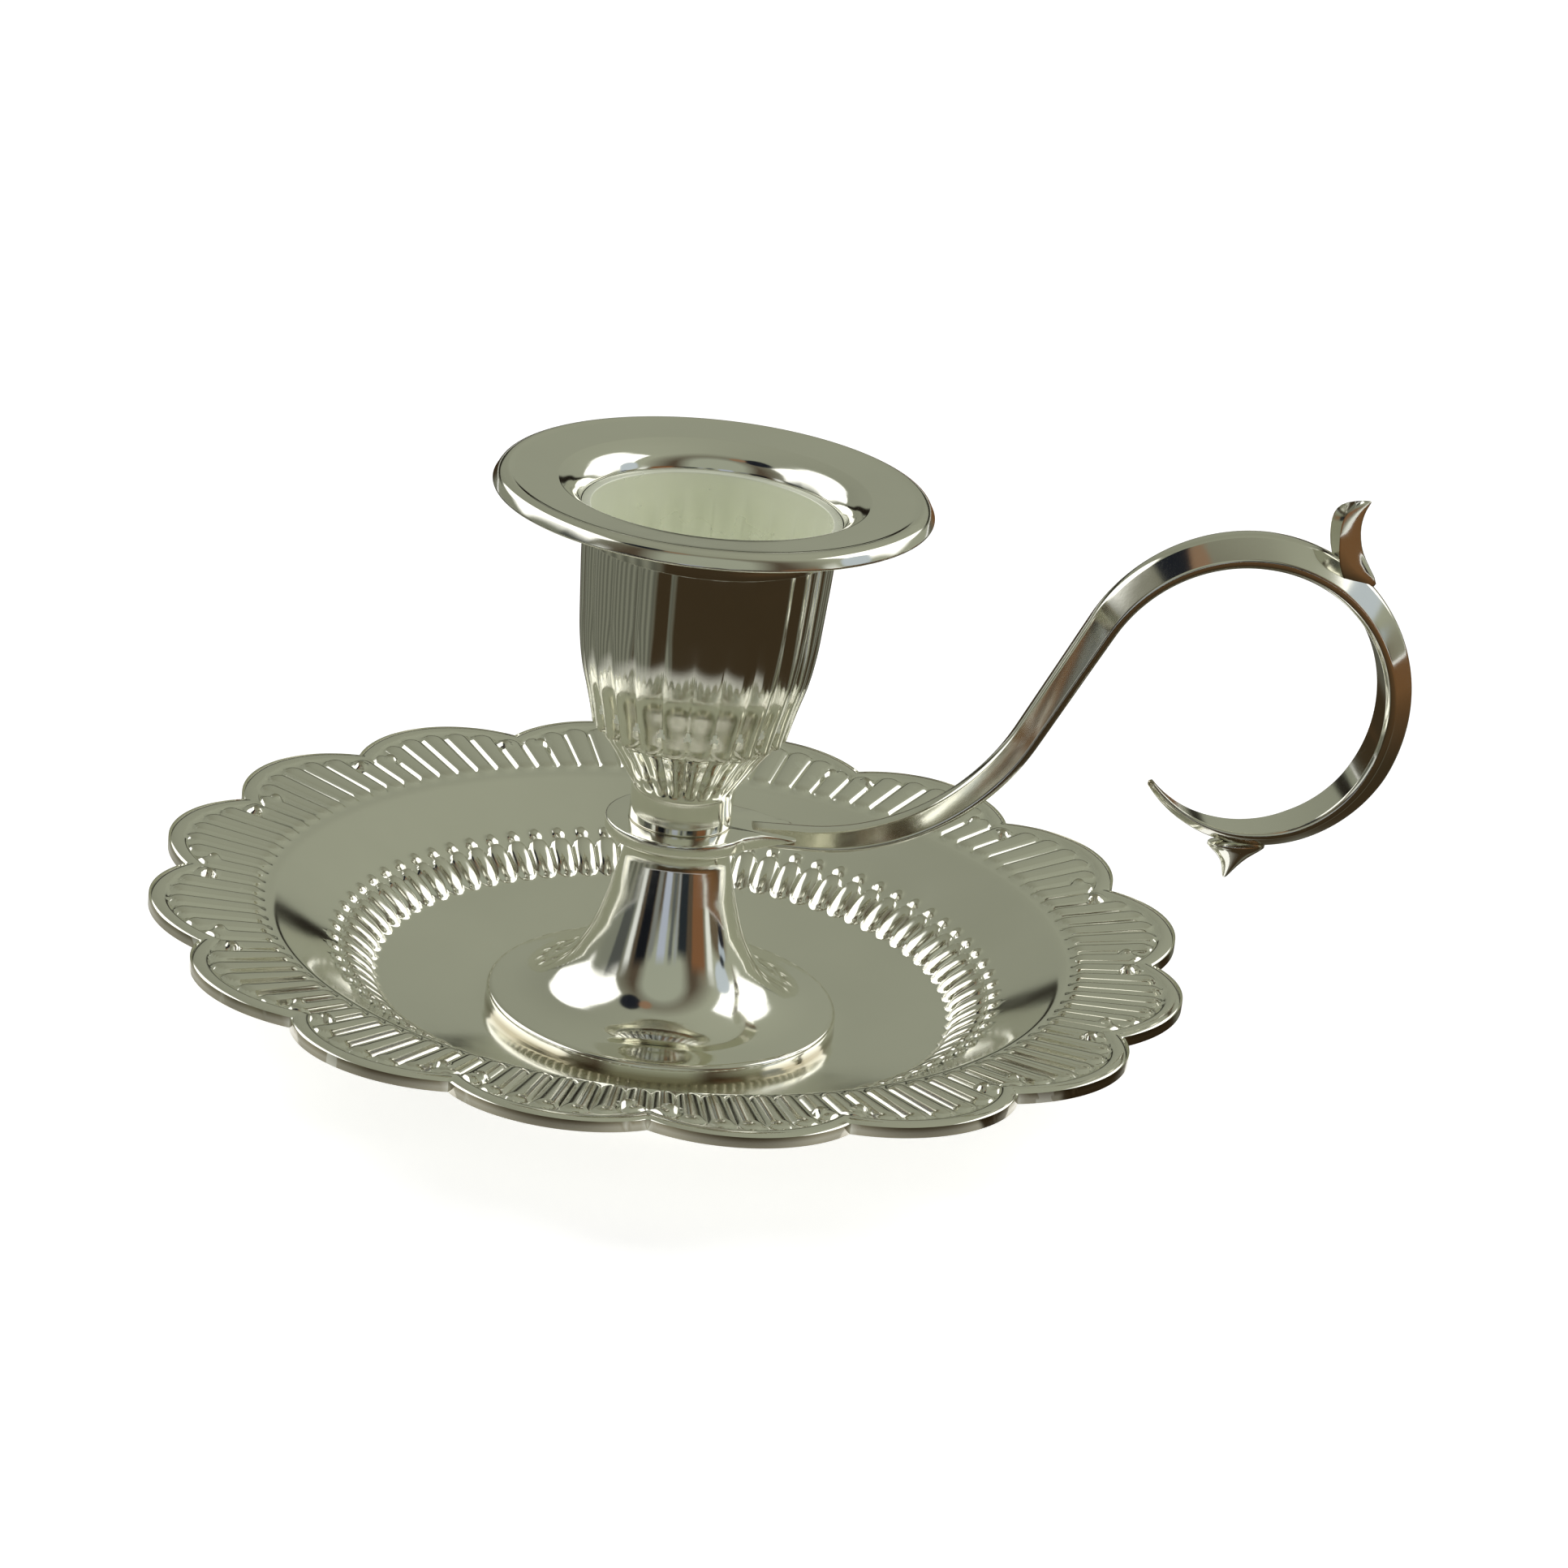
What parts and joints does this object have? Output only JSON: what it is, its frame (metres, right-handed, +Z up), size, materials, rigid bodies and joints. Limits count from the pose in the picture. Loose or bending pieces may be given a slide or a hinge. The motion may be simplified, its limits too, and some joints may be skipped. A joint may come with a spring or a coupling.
{
  "type": "chamberstick with finger loop",
  "caption": "Low portable candle holder: fluted candle cup with a wide drip brim on a flared column, scalloped ribbed saucer, and a curled side handle with a finger loop.",
  "frame": {"origin": "on the table at the centre of the saucer's flat resting face, on the candle's axis", "axes": "+Z up along the candle's axis, +X along the handle toward the finger loop, +Y completes a right-handed frame"},
  "size_m": [0.1164, 0.0976, 0.0561],
  "materials": {
    "silver_plate": "polished silver plate over brass, a little warm with age",
    "plated_steel": "bright plated steel fastener"
  },
  "bodies": {
    "root": {"saucer": "silver_plate", "foot_column": "silver_plate", "handle": "silver_plate", "candle_cup": "silver_plate", "drip_brim": "silver_plate", "centre_screw": "plated_steel", "spring_washer": "plated_steel", "flat_washer": "plated_steel"}
  },
  "joints": []
}
